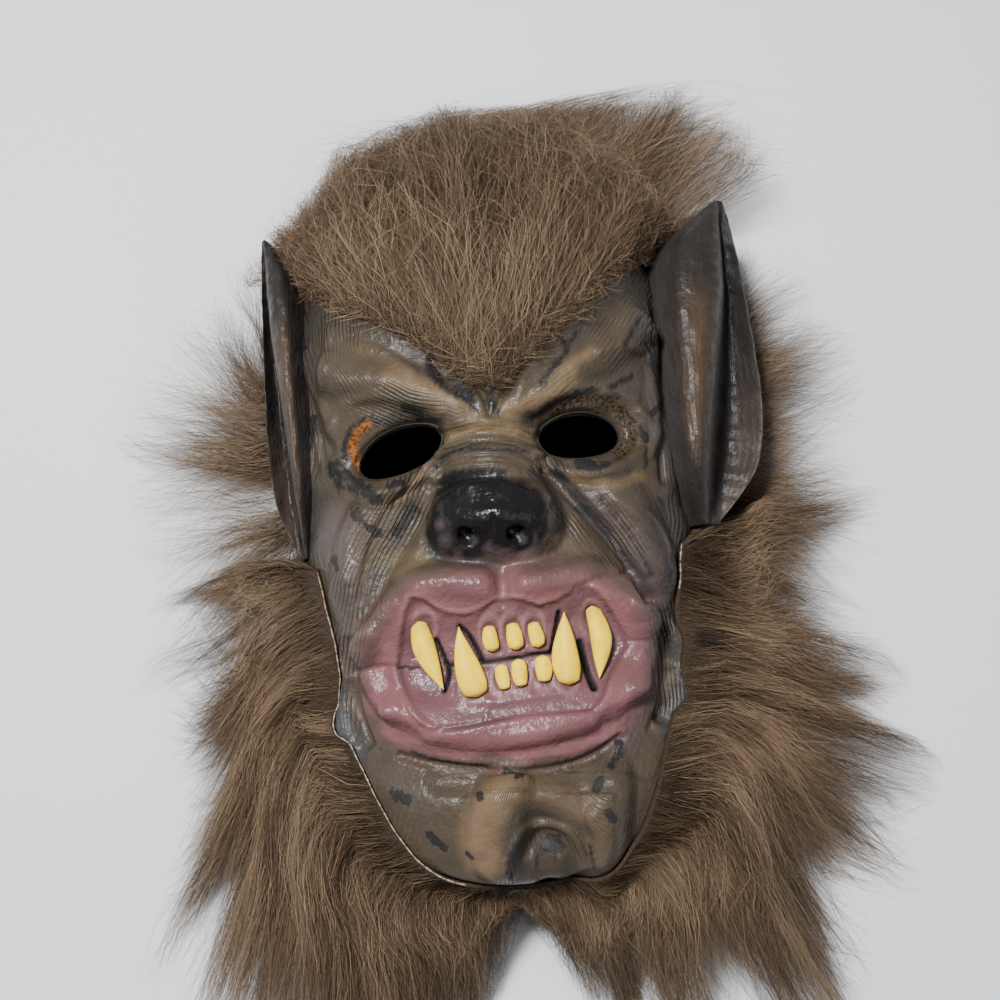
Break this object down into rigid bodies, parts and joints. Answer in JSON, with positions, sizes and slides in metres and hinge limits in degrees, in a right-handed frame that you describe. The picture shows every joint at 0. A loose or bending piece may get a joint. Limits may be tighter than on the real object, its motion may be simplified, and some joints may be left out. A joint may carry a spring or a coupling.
{
  "type": "werewolf mask",
  "caption": "Moulded latex werewolf face mask with bared teeth, pointed ears, fur on crown, sides and jaw, open back and an elastic head strap.",
  "frame": {"origin": "the middle of the flat underside of the elastic strap, on the surface that the mask lies on", "axes": "+Z out of the face, +Y to the crown, +X to the right of someone looking at the face"},
  "size_m": [0.3817, 0.4814, 0.126],
  "materials": {
    "latex": "satin",
    "tooth": "satin",
    "fur": "matte",
    "elastic": "matte"
  },
  "bodies": {
    "root": {"latex_face": "latex", "upper_canine_left": "tooth", "upper_canine_right": "tooth", "lower_fang_left": "tooth", "lower_fang_right": "tooth", "upper_incisor_left": "tooth", "upper_incisor_middle": "tooth", "upper_incisor_right": "tooth", "lower_incisor_left": "tooth", "lower_incisor_middle": "tooth", "lower_incisor_right": "tooth", "crown_fur": "fur", "side_fur_left": "fur", "side_fur_right": "fur", "beard_fur": "fur", "head_strap": "elastic"}
  },
  "joints": []
}
